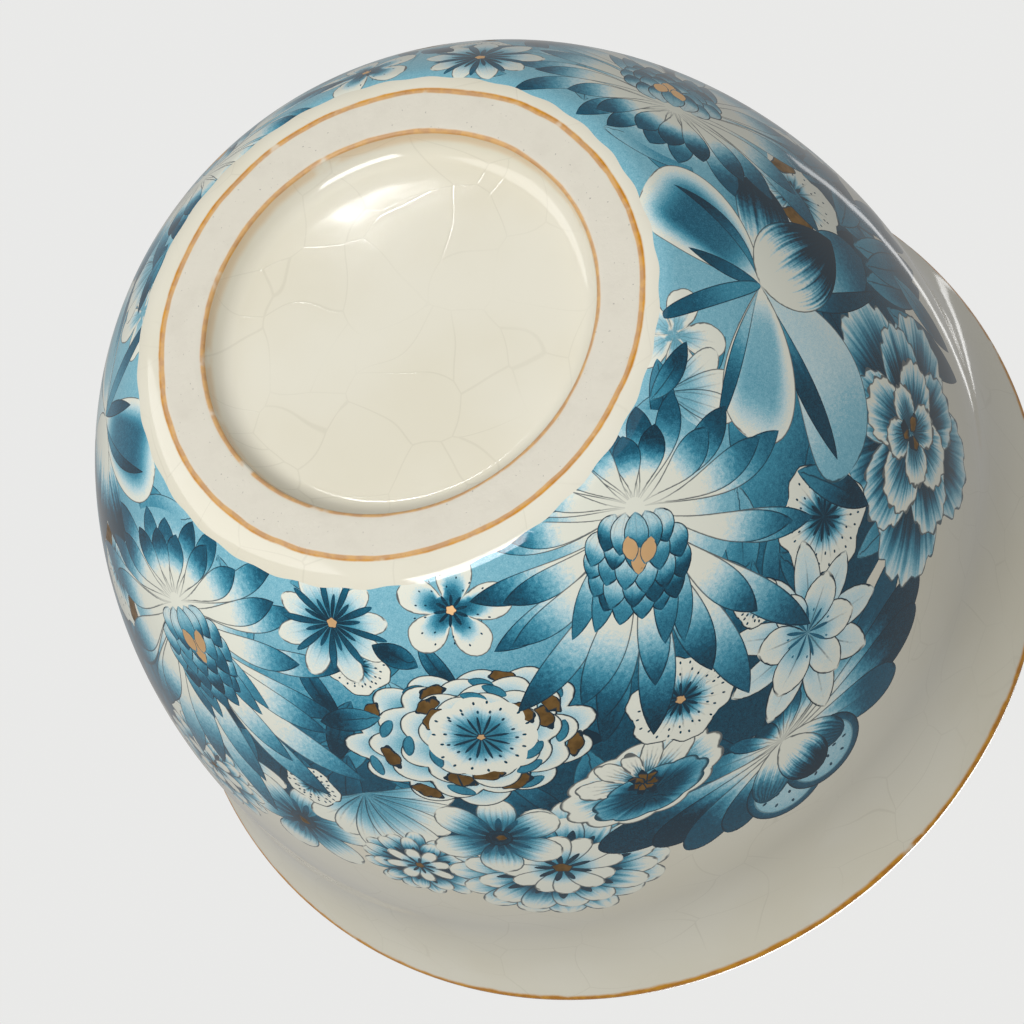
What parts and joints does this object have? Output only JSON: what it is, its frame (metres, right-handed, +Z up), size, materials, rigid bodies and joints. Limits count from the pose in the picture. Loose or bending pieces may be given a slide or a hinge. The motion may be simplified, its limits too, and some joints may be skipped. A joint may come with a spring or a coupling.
{
  "type": "gaiwan",
  "caption": "Lidded tea bowl with a flared lip, a low foot ring and a domed lid with a ring knob, in cream crackle glaze with a blue flower print.",
  "frame": {"origin": "middle of the plane that the foot ring stands on", "axes": "+Z up the bowl's axis of turning; the bowl and lid are round, so +X and +Y are any two level directions"},
  "size_m": [0.094, 0.094, 0.0823],
  "materials": {
    "bowl_glaze": "glossy cream crackle glaze, blue flower print with gold, bare foot ring",
    "lid_glaze": "glossy cream crackle glaze, blue flower print with gold"
  },
  "bodies": {
    "bowl": {"bowl": "bowl_glaze"},
    "lid": {"lid": "lid_glaze"}
  },
  "joints": [
    {"name": "lid_lift", "type": "slide", "parent": "bowl", "child": "lid", "axis": [0, 0, 1], "range_m": [0, 0.06]}
  ]
}
